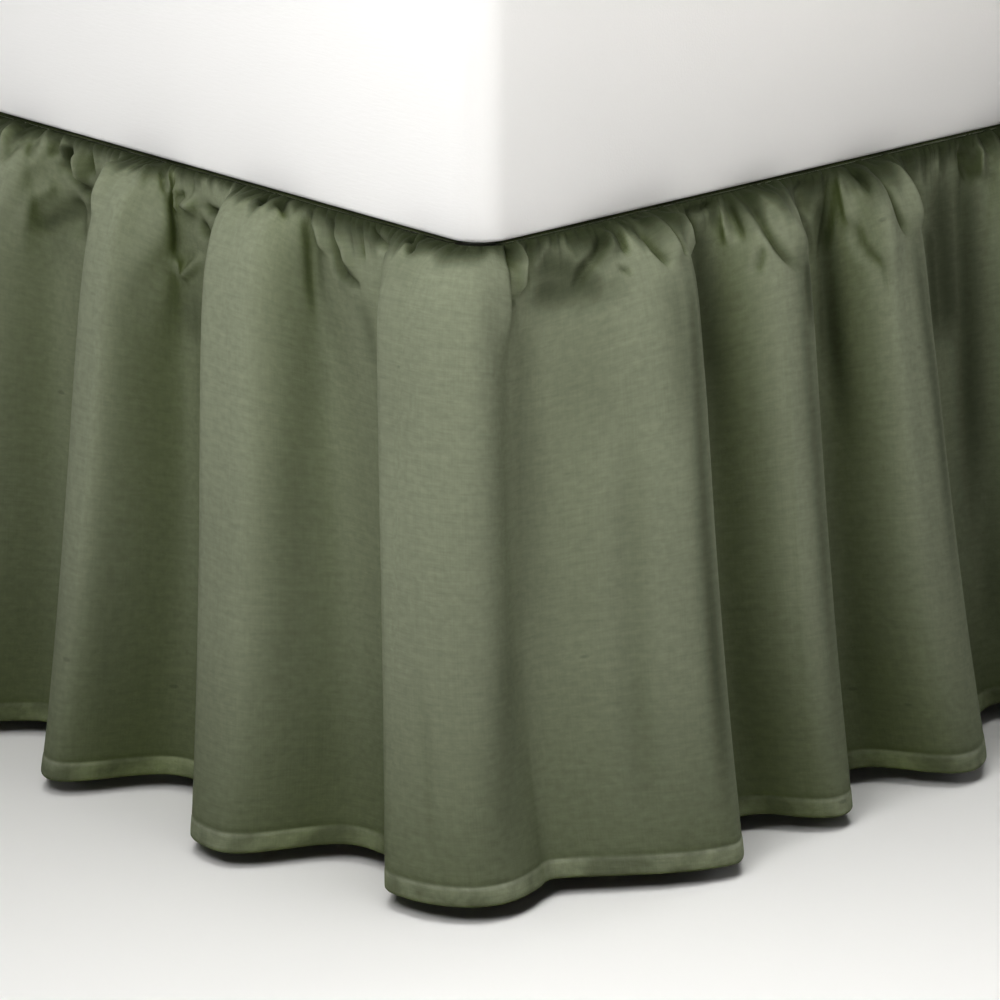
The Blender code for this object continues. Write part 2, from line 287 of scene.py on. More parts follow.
def normals_of(points):
    """Outward unit normals of a grid of points."""
    across = np.gradient(points, axis=0)
    down = np.gradient(points, axis=1)
    normal = np.cross(down, across)
    return normal / np.maximum(np.linalg.norm(normal, axis=2, keepdims=True), 1e-9)


# ---------------------------------------------------------------- puckers, creases and painted shade

# A crease is a line on the cloth through the points of its path, each a place along the seam and a
# distance down the cloth from it. Its width is that from its middle to its side. Its rise is the
# height of a ridge or, below zero, the depth of a trough. Its shade is how far painted shade darkens
# the cloth along it, and None where it follows from the depth of a trough.
Crease = namedtuple("Crease", "path width rise shade", defaults=(None,))

# Creases round the foot's right corner, with places from the middle of that corner. The columns
# are width, rise, shade and the points of the path, in millimetres but for the shade. Rows with a
# rise under a millimetre and a shade are mostly patches of painted shade.
MM_PER_METRE = 1000
RIGHT_CORNER_CREASES = (
    # the fold before the first deep valley, and that valley's bunched mouth
    (3, -3, None, (-386, 12), (-383, 30)),
    (3, -3.5, None, (-375, 5), (-374, 20)),
    (3, 3.5, None, (-369, 6), (-367, 20)),
    (5, -5, None, (-366, 10), (-360, 28)),
    (4, 6.5, None, (-349, 7), (-346, 30)),
    (2.8, -4, None, (-342, 7), (-340, 24)),
    (3.5, -4.5, None, (-362, 24), (-350, 32), (-336, 37)),
    (2.8, -3, None, (-314, 7), (-303, 19)),
    (7, 3, None, (-371, 33), (-381, 52), (-381, 82)),
    (9, -4.5, 0.15, (-357, 40), (-355, 70)),
    (7.5, -2, 0.55, (-377, 69), (-371, 59), (-360, 48), (-344, 39)),
    (10, -0.6, 0.30, (-367, 50), (-369, 95)),
    (12, 3.6, None, (-382, 18), (-385, 45), (-388, 75)),
    (5.5, -2, 0.85, (-366, 6), (-362, 26)),
    (3.5, -1, 0.50, (-340, 26), (-346, 52)),
    # the second fold's swept shoulder
    (13, -0.3, 0.10, (-266, 200), (-266, 300), (-264, 390)),
    (7, 4, None, (-314, 10), (-297, 30), (-293, 60)),
    (2.8, 2.4, None, (-272, 12), (-268, 32)),
    (2.4, -3.2, None, (-264, 10), (-261, 26)),
    (2.4, 2.8, None, (-261, 8), (-259, 20)),
    (2.4, -3.2, None, (-258, 10), (-257, 34)),
    (4.8, -2.2, 0.45, (-259, 24), (-256, 44), (-257, 62)),
    (16, 4.6, None, (-259, 24), (-258, 55), (-262, 120)),
    (12, 3.6, None, (-262, 6), (-261, 45), (-268, 105)),
    # the cloth caught up in the second valley
    (2.8, 3.5, None, (-256, 12), (-253, 30)),
    (2.2, -3, None, (-255, 18), (-248, 17)),
    (5, 7, None, (-248, 21), (-238, 22)),
    (2.8, -4.5, None, (-233, 22), (-214, 24)),
    (4, -4.5, None, (-238, 32), (-231, 41)),
    (3.5, 4.5, None, (-257, 60), (-252, 67), (-245, 60), (-237, 50)),
    (9, -0.3, 0.36, (-251, 74), (-249, 92), (-250, 115)),
    # the third fold and the pleated valley before the corner
    (15, -0.4, 0.20, (-131, 30), (-136, 90), (-141, 190), (-142, 360)),
    (5.5, -0.4, 0.60, (-114, 4), (-114, 28), (-113, 52)),
    (7, -0.3, 0.20, (-129, 48), (-132, 90), (-134, 150)),
    (2.5, -3.5, None, (-171, 7), (-162, 19)),
    (2.5, -3.8, None, (-156, 8), (-143, 19)),
    (3.6, -3.4, None, (-136, 5), (-133, 30), (-132, 80)),
    (11, -0.6, 0.26, (-135, 24), (-132, 60), (-128, 110)),
    (6, -0.6, 0.45, (-112, 16), (-110, 32), (-104, 47)),
    (7, -0.4, 0.32, (-102, 50), (-95, 62), (-92, 98)),
    (3.8, 4, None, (-129, 6), (-123, 30)),
    (3.4, -4.2, None, (-116, 6), (-115, 44)),
    (3.4, 4.2, None, (-109, 8), (-101, 36)),
    (2.5, -3.2, None, (-91, 5), (-92, 30)),
    (2.8, -3, None, (-117, 36), (-108, 40), (-96, 42)),
    # the corner's fold, flat and calm, with one tight pucker at its right
    (2.8, -3.5, None, (-82, 4), (-72, 13), (-55, 18)),
    (2.5, -3.2, None, (-43, 5), (-30, 19)),
    (4, -1.2, None, (-12, 260), (-11, 376)),
    (2.5, -4.2, None, (15, 2), (16, 17)),
    (3.4, 6, None, (20, 3), (21, 19), (22, 34)),
    (2.2, -2.5, None, (20, 34), (11, 35)),
    (3.8, -2, 0.60, (28, 4), (29, 20), (28, 36)),
    (10, 3.6, None, (8, 14), (10, 30), (10, 70)),
    (30, -0.3, 0.15, (-33, 12), (-30, 60), (-28, 180)),
    (9.5, -0.4, 0.22, (28, 50), (28, 80), (28, 160), (27, 270)),
    (26, -0.3, 0.22, (-36, 12), (-34, 50)),
    (14, -0.4, 0.24, (8, 240), (5, 300), (1, 390)),
    # the wide fold after the corner, with two leaves where it turns into its valley
    (3.2, -4.2, None, (87, 6), (73, 24), (61, 33), (56, 44)),
    (14.5, -0.8, 0.80, (36, 14), (50, 24), (66, 34)),
    (12, -0.8, 0.60, (40, 36), (56, 40), (74, 44)),
    (8, -0.8, 0.55, (40, 8), (74, 13)),
    (6, -0.4, 0.78, (46, 37), (56, 31), (74, 22)),
    (9, -0.4, 0.38, (50, 51), (69, 48), (90, 42)),
    (22, -0.3, 0.16, (56, 30), (60, 70), (62, 150)),
    (7.5, -0.3, 0.62, (125, 36), (124, 89), (122.5, 190), (122, 300), (121, 400)),
    (12, -0.3, 0.34, (112, 46), (114, 90), (118, 150)),
    (14, -0.3, 0.76, (32, 30), (45, 36), (66, 40), (80, 40)),
    (3, 4, None, (83, 6), (81, 31)),
    (7.5, -0.6, 0.42, (131, 40), (132, 62), (133, 130)),
    (11, -0.5, 0.76, (165, 6), (168, 40), (170, 65), (175, 110), (176, 200)),
    (2.5, -4.2, None, (91, 10), (88, 34)),
    (2.2, -2.4, None, (82, 37), (88, 43)),
    (2.6, -4.4, None, (102, 16), (107, 34), (114, 47)),
    (5.5, 4.2, None, (112, 12), (117, 30), (121, 46)),
    (2.6, -4.4, None, (121, 16), (125, 32), (130, 43)),
    (5.5, 4.2, None, (133, 12), (139, 28), (145, 40)),
    (2.8, -3, None, (178, 5), (166, 8), (155, 6)),
    (3, -4.5, None, (155, 7), (160, 19), (166, 36)),
    (11, -2.2, None, (78, 120), (74, 250), (72, 378)),
    # the next fold, with a long crease round its bright leaf
    (2.6, -3.6, None, (184, 10), (187, 38)),
    (2.8, 3, None, (180, 12), (183, 38)),
    (3, -4.2, None, (194, 10), (196, 36), (205, 54), (220, 67)),
    (7.5, 4.2, None, (206, 12), (213, 36), (224, 60)),
    (5.5, -1, 0.55, (196, 18), (203, 20), (212, 21)),
    (2.6, -2.4, None, (193, 45), (189, 59)),
    (6.5, -4.2, None, (250, 6), (256, 32)),
    (5, -0.4, 0.50, (241, 2), (249, 21), (260, 42), (267, 66)),
    (4, -0.4, 0.35, (211, 6), (206, 22), (200, 40)),
    (3, -4, None, (275, 7), (272, 34), (268, 58)),
    (8, -0.5, 0.80, (264, 10), (271, 40), (274, 110), (277, 200)),
    (5, -0.3, 0.62, (264, 20), (269, 60), (271, 160)),
    # the fold after that
    (7, -0.3, 0.80, (223, 55), (221, 78), (222, 100)),
    (10, -0.3, 0.72, (361, 45), (361, 90), (363, 150)),
    (7, -0.3, 0.52, (220, 36), (216, 85), (216.5, 160), (216, 260), (212, 400)),
    (5, -0.3, 0.14, (269, 60), (271, 162), (268, 300)),
    (7, -0.3, 0.55, (313, 50), (310, 95), (312.5, 150), (311, 220), (303, 340)),
    (10, -0.3, 0.32, (394, 170), (391, 260), (383, 370)),
    (13, -0.4, 0.80, (391, 4), (391, 70), (388, 170), (378, 330)),
    (3, 4, None, (279, 7), (279, 52)),
    (2.5, -4.2, None, (287, 10), (285, 33)),
    (3, -3, 0.08, (279, 39), (281, 62), (287, 81)),
    (7.5, 3.2, None, (292, 16), (290, 55), (289, 82)),
    (3, -3.8, None, (299, 14), (301, 45), (309, 65)),
    (6.5, 4.2, None, (312, 10), (317, 40), (314, 63)),
    (5.5, -1, 0.55, (279, 19), (284, 21)),
    (5, -1, 0.50, (302, 18), (306, 30)),
    (4.5, -3.4, None, (338, 7), (350, 32), (350, 50), (332, 64)),
    (7.5, -0.6, 0.45, (310, 58), (312, 82), (316, 107), (319, 135)),
    (16, -0.5, 0.78, (370, 10), (372, 60), (373, 110), (375, 150)),
    (3, -4, None, (391, 8), (395, 36)),
    (4, 3.2, None, (402, 10), (402, 38)),
)
# Elsewhere ridges and troughs are drawn at random between these, one after the other
CREASE_PITCH = (0.006, 0.018)
CREASE_START = (0.003, 0.014)
CREASE_RUN = (0.014, 0.050)
CREASE_LEAN = 0.45
CREASE_WIDTH = (0.0024, 0.0060)
CREASE_RISE = (0.0024, 0.0048)
CREASE_SEED = 31

# A run of gathers is ridges side by side between sharp creases, each of its own width, height and
# length, swept sideways together by a slow lean. Its rise is how far below the seam it has its full
# height. Where creases are listed only a kept share of its height is left.
Gathers = namedtuple("Gathers", "pitch spread height length lean rise roundness kept seed")
SEAM_GATHERS = (
    Gathers(0.0062, 0.55, 0.0030, (0.006, 0.022), 0.30, 0.0015, roundness=0.7, kept=0.9, seed=21),
    Gathers(0.0175, 0.45, 0.0056, (0.026, 0.056), 0.35, 0.0040, roundness=0.9, kept=0.25, seed=22),
)
LONG_GATHERS = Gathers(0.0470, 0.45, 0.0018, (0.150, 0.420), 0.06, 0.040, roundness=1.4, kept=1.0, seed=23)
LOWEST_RIDGE = 0.35
LEAN_PITCH = 0.060
PLACED_FROM_CORNER = (-0.390, 0.410)
PLACED_BLEND = 0.030
# More ridges are drawn than the rim holds at an even pitch, and draws run on past its ends
SPARE_SHARE = 1.6
SPARE_COUNT = 20
PAST_RIM = 0.1

# Troughs of drawn-in cloth get painted shade: how deep a trough is for the full painted shade, and how dark
# that is
FULLY_SHADED_DEPTH = 0.0045
TROUGH_SHADE = 0.35
# Uneven teeth of painted shade hang from the seam's stitches. The columns are a place from the right
# corner and about how far below the seam the teeth reach there, which the spread makes uneven.
TOOTH_PITCH = 0.0055
TOOTH_SPREAD = (0.35, 1.65)
TEETH = (
    (-0.420, 0.010), (-0.400, 0.007), (-0.140, 0.008), (-0.115, 0.022), (-0.070, 0.018),
    (-0.020, 0.008), (0.010, 0.009), (0.030, 0.020), (0.070, 0.024), (0.100, 0.015),
    (0.160, 0.024), (0.200, 0.020), (0.250, 0.026), (0.290, 0.020), (0.330, 0.026),
    (0.370, 0.034), (0.420, 0.014),
)
# Painted shade darkens the cloth towards the floor: its strength there, and the share of the drop it starts
# at
LOW_SHADE = 0.26
LOW_SHADE_FROM = 0.35
# The hem's stitches draw its turned edge into a slight ripple
HEM_RIPPLE_PITCH = 0.011
HEM_RIPPLE = 0.0007
HEM_RIPPLE_REACH = 0.018


def smooth_step(value):
    value = np.clip(value, 0, 1)
    return value * value * (3 - 2 * value)


def wander(columns, pitch, span, chance, past=PAST_RIM):
    """A value drawn afresh within a span at every pitch along the rim, and straight in between."""
    stations = np.arange(-RIM_HALF - past, RIM_HALF + past, pitch)
    return np.interp(columns, stations, chance.uniform(*span, len(stations)))


def gather_heights(columns, rows, run):
    """Height of one run of gathers over the smooth folds, for each column and row."""
    chance = np.random.default_rng(run.seed)
    count = int(2 * RIM_HALF / run.pitch * SPARE_SHARE) + SPARE_COUNT
    widths = run.pitch * chance.uniform(1 - run.spread, 1 + run.spread, count)
    edges = -RIM_HALF - PAST_RIM + np.cumsum(widths)
    height = run.height * chance.uniform(LOWEST_RIDGE, 1.0, count)
    length = chance.uniform(*run.length, count)
    lean = run.lean * wander(columns, LEAN_PITCH, (-1, 1), chance, 2 * PAST_RIM)
    place = columns[:, None] + lean[:, None] * rows
    i = np.clip(np.searchsorted(edges, place, side="right") - 1, 0, count - 2)
    share = np.clip((place - edges[i]) / (edges[i + 1] - edges[i]), 0, 1)
    ridge = np.sin(math.pi * share) ** run.roundness - 1 / 2
    fade = np.exp(-((rows / length[i]) ** 2)) * smooth_step(rows / run.rise)
    first, last = (RIGHT_CORNER + place for place in PLACED_FROM_CORNER)
    placed = smooth_step((columns - first) / PLACED_BLEND) * smooth_step((last - columns) / PLACED_BLEND)
    return height[i] * ridge * fade * mix(1.0, run.kept, placed)[:, None]


def teeth_of_shade(columns, base):
    """How far each point lies in the painted shade of the tight gathers at the seam, from 0 to 1."""
    tooth = wander(columns, TOOTH_PITCH, TOOTH_SPREAD, np.random.default_rng(CREASE_SEED))
    tooth *= np.interp(columns - RIGHT_CORNER, *np.array(TEETH).T)
    return smooth_step(1 - (SEAM_HEIGHT - base[..., 2]) / tooth[:, None])


def hem_ripple(columns, rows):
    """Height of the ripple that the hem's stitches draw into the cloth's lower edge."""
    ripple = wander(columns, HEM_RIPPLE_PITCH, (-1, 1), np.random.default_rng(CREASE_SEED))
    fade = np.exp(-(((STRIP_LENGTH - rows) / HEM_RIPPLE_REACH) ** 2))
    return HEM_RIPPLE * ripple[:, None] * fade


def chance_creases(start, end):
    """Ridges and troughs by turns between two places along the rim."""
    chance = random.Random(CREASE_SEED + round(start * MM_PER_METRE))
    creases = []
    place, side = start, 1
    while place < end:
        begin = chance.uniform(*CREASE_START)
        run = chance.uniform(*CREASE_RUN)
        lean = chance.uniform(-CREASE_LEAN, CREASE_LEAN)
        bend = chance.uniform(-CREASE_LEAN, CREASE_LEAN) / 2
        path = (
            (place, begin),
            (place + run * (lean + bend) / 2, begin + run / 2),
            (place + run * lean, begin + run),
        )
        rise = side * chance.uniform(*CREASE_RISE)
        creases.append(Crease(path=path, width=chance.uniform(*CREASE_WIDTH), rise=rise))
        place += chance.uniform(*CREASE_PITCH)
        side = -side
    return creases


def all_creases():
    """The right corner's creases, and drawn ones along the rest of the rim, in metres."""
    placed = []
    for width, rise, shade, *points in RIGHT_CORNER_CREASES:
        path = [(place / MM_PER_METRE + RIGHT_CORNER, down / MM_PER_METRE) for place, down in points]
        placed.append(Crease(path, width / MM_PER_METRE, rise / MM_PER_METRE, shade))
    places = [place for crease in placed for place, _ in crease.path]
    before = chance_creases(-RIM_HALF, min(places))
    after = chance_creases(max(places), RIM_HALF)
    return before + placed + after


def points_on(base, columns, rows, places, downs):
    """Points of the cloth between those of its grid, at these places and distances down."""
    i = np.interp(places, columns, np.arange(len(columns)))
    j = np.interp(downs, rows, np.arange(len(rows)))
    i0, j0 = np.minimum(i.astype(int), len(columns) - 2), np.minimum(j.astype(int), len(rows) - 2)
    u, v = (i - i0)[:, None], (j - j0)[:, None]
    upper = base[i0, j0] * (1 - u) + base[i0 + 1, j0] * u
    lower = base[i0, j0 + 1] * (1 - u) + base[i0 + 1, j0 + 1] * u
    return upper * (1 - v) + lower * v


# How many widths off its line a crease is looked for down the cloth, and how many times that
# sideways, where folds lean
CREASE_MARGIN = 4
CREASE_SLANT = 3
# A path is sampled evenly and smoothed over a few samples to each side
PATH_SAMPLES = 25
SMOOTHED = 3
# A crease tapers off over this share of its length at its lower end, and over the rest of a like
# taper at its upper end, where it starts this far up it
TAPERED = 0.35
TAPER_START = 0.35
# Across, it is a ridge with a shallow dip along each side: the power that rounds the ridge, the
# dip's share of the rise, and its reach in widths
RIDGE_POWER = 1.7
DIP = 0.35
DIP_REACH = 2.1
# Creases are held flat at the seam, and have their full rise this far below it
HELD_FLAT = 0.003


def path_of(crease):
    """Places and distances down at even samples along a crease, its corners rounded sideways."""
    places, downs = np.array(crease.path).T
    run = np.linspace(0, len(places) - 1, PATH_SAMPLES)
    along = np.interp(run, range(len(places)), places)
    window = 2 * SMOOTHED + 1
    bent = np.convolve(np.pad(along, SMOOTHED, mode="edge"), np.ones(window) / window, mode="valid")
    return bent, np.interp(run, range(len(places)), downs)


def nearest_on(line, points):
    """Distance of each point from a line through space, and the share of its run that is nearest."""
    legs = np.diff(line, axis=0)
    past = points[:, :, None] - line[:-1]
    part = np.clip((past * legs).sum(axis=3) / np.maximum((legs**2).sum(axis=1), 1e-12), 0, 1)
    distance = np.linalg.norm(past - part[..., None] * legs, axis=3)
    nearest = distance.argmin(axis=2)[..., None]
    run = nearest + np.take_along_axis(part, nearest, 2)
    return np.take_along_axis(distance, nearest, 2)[..., 0], run[..., 0] / len(legs)


def crease_reliefs(columns, rows, base):
    """Height of the creases over the smooth folds, and their painted shade, by how near each point lies."""
    heights, shades = np.zeros(base.shape[:2]), np.zeros(base.shape[:2])
    for crease in all_creases():
        places, downs = np.array(crease.path).T
        reach = CREASE_MARGIN * crease.width
        aside = CREASE_SLANT * reach
        near = np.flatnonzero((columns > min(places) - aside) & (columns < max(places) + aside))
        low = np.flatnonzero((rows > min(downs) - reach) & (rows < max(downs) + reach))
        if len(near) < 2 or len(low) < 2:
            continue
        patch = (slice(near[0], near[-1] + 1), slice(low[0], low[-1] + 1))
        line = points_on(base, columns, rows, *path_of(crease))
        distance, share = nearest_on(line, base[patch])
        away = distance / crease.width
        taper = smooth_step((1 - share) / TAPERED) * smooth_step(TAPER_START + share / TAPERED)
        profile = (1 + DIP) * np.exp(-(away**RIDGE_POWER)) - DIP * np.exp(-((away / DIP_REACH) ** 2))
        heights[patch] += crease.rise * profile * taper
        shade = crease.shade
        if shade is None:
            shade = TROUGH_SHADE * min(max(-crease.rise / FULLY_SHADED_DEPTH, 0), 1)
        shades[patch] = np.maximum(shades[patch], shade * np.exp(-(away**2)) * taper)
    return heights * smooth_step(rows / HELD_FLAT), shades


# ---------------------------------------------------------------- materials


def linear(hex_colour):
    """An sRGB hex colour as linear values."""
    channels = [int(hex_colour[i : i + 2], 16) / 255 for i in (1, 3, 5)]
    return [c / 12.92 if c <= 0.04045 else ((c + 0.055) / 1.055) ** 2.4 for c in channels]


def shade_of(colour, factor):
    return (*[channel * factor for channel in colour], 1.0)


def new_material(name):
    """A material, its node tree and its Principled shader."""
    material = bpy.data.materials.new(name)
    material.use_nodes = True
    return material, material.node_tree, material.node_tree.nodes["Principled BSDF"]


def fill_inputs(tree, node, inputs):
    """Links each input that is given another node's output, and sets the others to their values."""
    for name, value in inputs.items():
        if isinstance(value, bpy.types.NodeSocket):
            tree.links.new(value, node.inputs[name])
        else:
            node.inputs[name].default_value = value


def add_node(tree, kind, output, inputs=None, **settings):
    """Adds a node with its settings and its inputs, and gives one of its outputs."""
    node = tree.nodes.new("ShaderNode" + kind)
    for name, value in settings.items():
        setattr(node, name, value)
    fill_inputs(tree, node, inputs or {})
    return node.outputs[output]


def streaks(tree, coordinates, length, thickness, detail=2.0):
    """Noise drawn out into streaks of this length and thickness, in metres on the cloth."""
    scale = (1 / length, 1 / thickness, 1 / thickness)
    place = add_node(tree, "Mapping", "Vector", {"Vector": coordinates, "Scale": scale})
    return add_node(tree, "TexNoise", "Fac", {"Vector": place, "Scale": 1.0, "Detail": detail})


def toned(tree, pattern, start, end, low, high):
    """A colour that goes from low to high while a pattern goes from start to end."""
    span = {"Value": pattern, "From Min": start, "From Max": end}
    share = add_node(tree, "MapRange", "Result", span)
    return add_node(tree, "MixRGB", "Color", {"Fac": share, "Color1": low, "Color2": high})


# The values between which nearly all of the noise lies
STREAKS_LOW = 0.30
STREAKS_HIGH = 0.70


def uneven(tree, pattern, colour, low, high):
    """A colour as streaks of noise bring it down to low and up to high times its tone."""
    return toned(tree, pattern, STREAKS_LOW, STREAKS_HIGH, shade_of(colour, low), shade_of(colour, high))


WHITE = (1.0, 1.0, 1.0)
WARP_HEIGHT = 0.6
# Yarn knots lie one to a cell: cells a metre across and down the cloth, the distance from a knot's
# middle at which it ends and at which it is full, in cells, its tone and how much of that shows
KNOT_CELLS = (14, 34, 1)
KNOT_EDGE = 0.055
KNOT_FULL = 0.030
KNOT_TONE = 0.45
KNOT_SHARE = 0.45
# The hem's lightening at its least and most, partly for its two layers and partly painted light, the
# noise between which it goes from one to the other, and how far to either side of the hem's top it fades
HEM_LEAST_TONE = (1.00, 0.98, 1.04, 1.0)
HEM_MOST_TONE = (2.15, 2.08, 2.36, 1.0)
HEM_LEAST = 0.42
HEM_MOST = 0.66
HEM_FADE = 0.0006
# How far round it a fold's cloth looks for other cloth, its openness where it is darkest and where
# it is plain, and the darkest tones of the painted shade in folds and of the shade stored on points
FOLD_DEPTH_SEEN = 0.160
FOLD_SAMPLES = 4
DEEP_OPENNESS = 0.28
PLAIN_OPENNESS = 0.90
FOLD_SHADE_TONE = (0.275, 0.33, 0.115, 1.0)
PAINTED_SHADE_TONE = (0.11, 0.13, 0.07, 1.0)


def woven(tree, uv, colour):
    """The dyed weave's tone, and the height of its yarns."""
    # Thick places in the weft yarns show as faint streaks across the drop. They are drawn 1.2 mm
    # thick, coarser than the real 0.3 mm, which would vanish at this size
    weft = streaks(tree, uv, length=0.012, thickness=0.0012)
    slubs = streaks(tree, uv, length=0.022, thickness=0.0030)
    mottle = streaks(tree, uv, length=0.005, thickness=0.0045)
    # The warp is finer and more even, so it streaks less
    turned = add_node(tree, "Mapping", "Vector", {"Vector": uv, "Rotation": (0, 0, math.pi / 2)})
    warp = streaks(tree, turned, length=0.030, thickness=0.0010)
    # The dye takes a little unevenly from one hand's breadth to the next
    dye = streaks(tree, uv, length=0.160, thickness=0.090, detail=3.0)
    tone = uneven(tree, weft, colour, 0.97, 1.03)
    for pattern, swing in ((warp, 0.030), (slubs, 0.055), (mottle, 0.080), (dye, 0.045)):
        tint = {"Fac": 1.0, "Color1": tone, "Color2": uneven(tree, pattern, WHITE, 1 - swing, 1 + swing)}
        tone = add_node(tree, "MixRGB", "Color", tint, blend_type="MULTIPLY")
    height = {0: warp, 1: WARP_HEIGHT, 2: weft}
    return tone, add_node(tree, "Math", "Value", height, operation="MULTIPLY_ADD")


def on_knots(tree, uv):
    """1 on the yarn knots that stand up here and there, a few millimetres long, and 0 off them."""
    cells = add_node(tree, "Mapping", "Vector", {"Vector": uv, "Scale": KNOT_CELLS})
    off = add_node(tree, "TexVoronoi", "Distance", {"Vector": cells, "Scale": 1.0})
    span = {"Value": off, "From Min": KNOT_EDGE, "From Max": KNOT_FULL}
    return add_node(tree, "MapRange", "Result", span)


def on_hem(tree, uv, hem_depth):
    """1 on the turned hem and 0 above it."""
    down = add_node(tree, "SeparateXYZ", "Y", {"Vector": uv})
    hem_top = hem_depth - STRIP_LENGTH
    span = {"Value": down, "From Min": hem_top + HEM_FADE, "From Max": hem_top - HEM_FADE}
    return add_node(tree, "MapRange", "Result", span)


def painted_fold_shade(tree):
    """Share of painted shade: 1 deep in a fold and 0 on open cloth."""
    around = {"Distance": FOLD_DEPTH_SEEN}
    openness = add_node(tree, "AmbientOcclusion", "AO", around, samples=FOLD_SAMPLES)
    span = {"Value": openness, "From Min": PLAIN_OPENNESS, "From Max": DEEP_OPENNESS}
    return add_node(tree, "MapRange", "Result", span)


def cloth_material(colour, hem_depth):
    """Dyed plain-woven poly-cotton: matt, with a soft nap at grazing angles, uneven yarns and painted shade.
    """
    material, tree, shader = new_material("olive_poly_cotton_plain_weave")
    uv = add_node(tree, "UVMap", "UV", uv_map="cloth")
    tone, height = woven(tree, uv, colour)
    knots = on_knots(tree, uv)
    share = add_node(tree, "Math", "Value", {0: knots, 1: KNOT_SHARE}, operation="MULTIPLY")
    knotted = {"Fac": share, "Color1": tone, "Color2": shade_of(colour, KNOT_TONE)}
    tone = add_node(tree, "MixRGB", "Color", knotted)
    # The hem is two layers and is lightened in uneven patches: partly its denser cloth, partly painted light
    hem_patches = streaks(tree, uv, length=0.036, thickness=0.030, detail=4.0)
    hem_tone = toned(tree, hem_patches, HEM_LEAST, HEM_MOST, HEM_LEAST_TONE, HEM_MOST_TONE)
    hem = on_hem(tree, uv, hem_depth)
    # Painted shade darkens the cloth by the shade on its points and deep in its folds; the hem is lightened
    painted_shade = add_node(tree, "Attribute", "Fac", attribute_name="painted_shade")
    for share, shade in ((hem, hem_tone), (painted_shade, PAINTED_SHADE_TONE), (painted_fold_shade(tree), FOLD_SHADE_TONE)):
        tint = {"Fac": share, "Color1": tone, "Color2": shade}
        tone = add_node(tree, "MixRGB", "Color", tint, blend_type="MULTIPLY")
    height = add_node(tree, "Math", "Value", {0: height, 1: knots}, operation="ADD")
    surface = {
        "Base Color": tone,
        "Roughness": 0.92,
        "IOR": 1.5,
        "Specular IOR Level": 0.14,
        "Sheen Weight": 0.03,
        "Sheen Roughness": 0.5,
        "Sheen Tint": shade_of(colour, 1.6),
        "Normal": add_node(tree, "Bump", "Normal", {"Height": height, "Distance": 0.00018}),
    }
    fill_inputs(tree, shader, surface)
    return material


def percale_material(colour):
    """White cotton percale, stretched smooth: matt, nearly even, with a faint grain of yarns."""
    material, tree, shader = new_material("white_cotton_percale")
    place = add_node(tree, "TexCoord", "Object")
    # Yarns drawn 1.2 mm thick, coarser than their real 0.2 mm, as they would vanish at this size
    grain = streaks(tree, place, length=0.008, thickness=0.0012)
    cloudy = streaks(tree, place, length=0.120, thickness=0.120)
    height = add_node(tree, "Math", "Value", {0: cloudy, 1: 6.0, 2: grain}, operation="MULTIPLY_ADD")
    surface = {
        "Base Color": uneven(tree, cloudy, colour, 0.985, 1.0),
        "Roughness": 0.88,
        "Specular IOR Level": 0.2,
        "Normal": add_node(tree, "Bump", "Normal", {"Height": height, "Distance": 0.00012}),
    }
    fill_inputs(tree, shader, surface)
    return material


def ticking_material(colour):
    """Tightly woven grey ticking, matt, with fine lengthways yarns."""
    material, tree, shader = new_material("pale_grey_woven_ticking")
    place = add_node(tree, "TexCoord", "Object")
    # Drawn 1.5 mm thick, coarser than the real 0.4 mm, so that they show
    yarns = streaks(tree, place, length=0.020, thickness=0.0015)
    surface = {
        "Base Color": uneven(tree, yarns, colour, 0.90, 1.06),
        "Roughness": 0.9,
        "Normal": add_node(tree, "Bump", "Normal", {"Height": yarns, "Distance": 0.0003}),
    }
    fill_inputs(tree, shader, surface)
    return material


def beech_material(colour):
    """Oiled beech: a satin, lightly flecked wood with its grain up the leg."""
    material, tree, shader = new_material("oiled_beech")
    place = add_node(tree, "TexCoord", "Object")
    upright = add_node(tree, "Mapping", "Vector", {"Vector": place, "Rotation": (0, math.pi / 2, 0)})
    grain = streaks(tree, upright, length=0.120, thickness=0.006, detail=4.0)
    flecks = streaks(tree, upright, length=0.006, thickness=0.0007)
    wood = uneven(tree, grain, colour, 0.86, 1.08)
    surface = {
        "Base Color": toned(tree, flecks, 0.62, 0.70, wood, shade_of(colour, 0.66)),
        "Roughness": 0.42,
        "Normal": add_node(tree, "Bump", "Normal", {"Height": flecks, "Distance": 0.0001}),
    }
    fill_inputs(tree, shader, surface)
    return material


def floor_material(colour):
    """A seamless painted floor, matt, with the slightest cloudiness."""
    material, tree, shader = new_material("pale_painted_floor")
    place = add_node(tree, "TexCoord", "Object")
    cloudy = streaks(tree, place, length=0.8, thickness=0.8)
    tone = uneven(tree, cloudy, colour, 0.985, 1.0)
    fill_inputs(tree, shader, {"Base Color": tone, "Roughness": 0.9, "Specular IOR Level": 0.2})
    return material


# ---------------------------------------------------------------- meshes

HEM_FOLD = 0.0009
STITCH_GROOVE = 0.0005
# The sheet's rows are close near the seam and even from there to the hem
CLOSE_DOWN_TO = 0.072
CLOSE_ROW = 0.0022
EVEN_ROWS = 24
FINE_COLUMNS_FROM_CORNER = (-0.490, 0.520)


